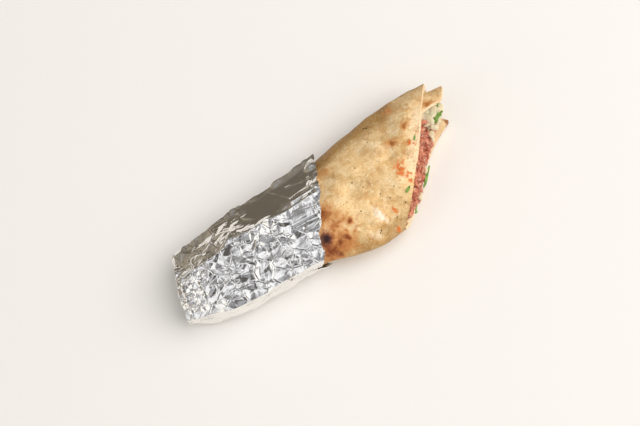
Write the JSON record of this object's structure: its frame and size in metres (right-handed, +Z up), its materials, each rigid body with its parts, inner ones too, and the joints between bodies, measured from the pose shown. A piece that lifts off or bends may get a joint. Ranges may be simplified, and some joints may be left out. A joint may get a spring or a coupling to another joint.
{
  "type": "paratha wrap",
  "caption": "Half of a flatbread wrap cut on the bias, filled with minced beef, onion and herbs, its closed end in a crumpled aluminium foil pouch.",
  "frame": {"origin": "middle of the bounding box in X and Y, on the surface that the wrap lies on", "axes": "+X along the roll from the foil end to the cut, +Z up, +Y towards the side where the bias cut reaches furthest"},
  "size_m": [0.1695, 0.0629, 0.031],
  "materials": {
    "foil": "crumpled household foil, bright and mirror-like between the creases",
    "bread": "pan-fried flatbread, golden with brown toasted spots and a little oil",
    "beef": "moist cooked minced beef, pink-brown",
    "onion": "soft translucent cooked onion",
    "herb": "fresh green leaf"
  },
  "bodies": {
    "root": {"foil_wrapper": "foil", "paratha": "bread", "beef_filling": "beef", "onion_filling": "onion", "herb_leaf_far": "herb", "herb_stem": "herb", "herb_leaf_near": "herb"}
  },
  "joints": []
}
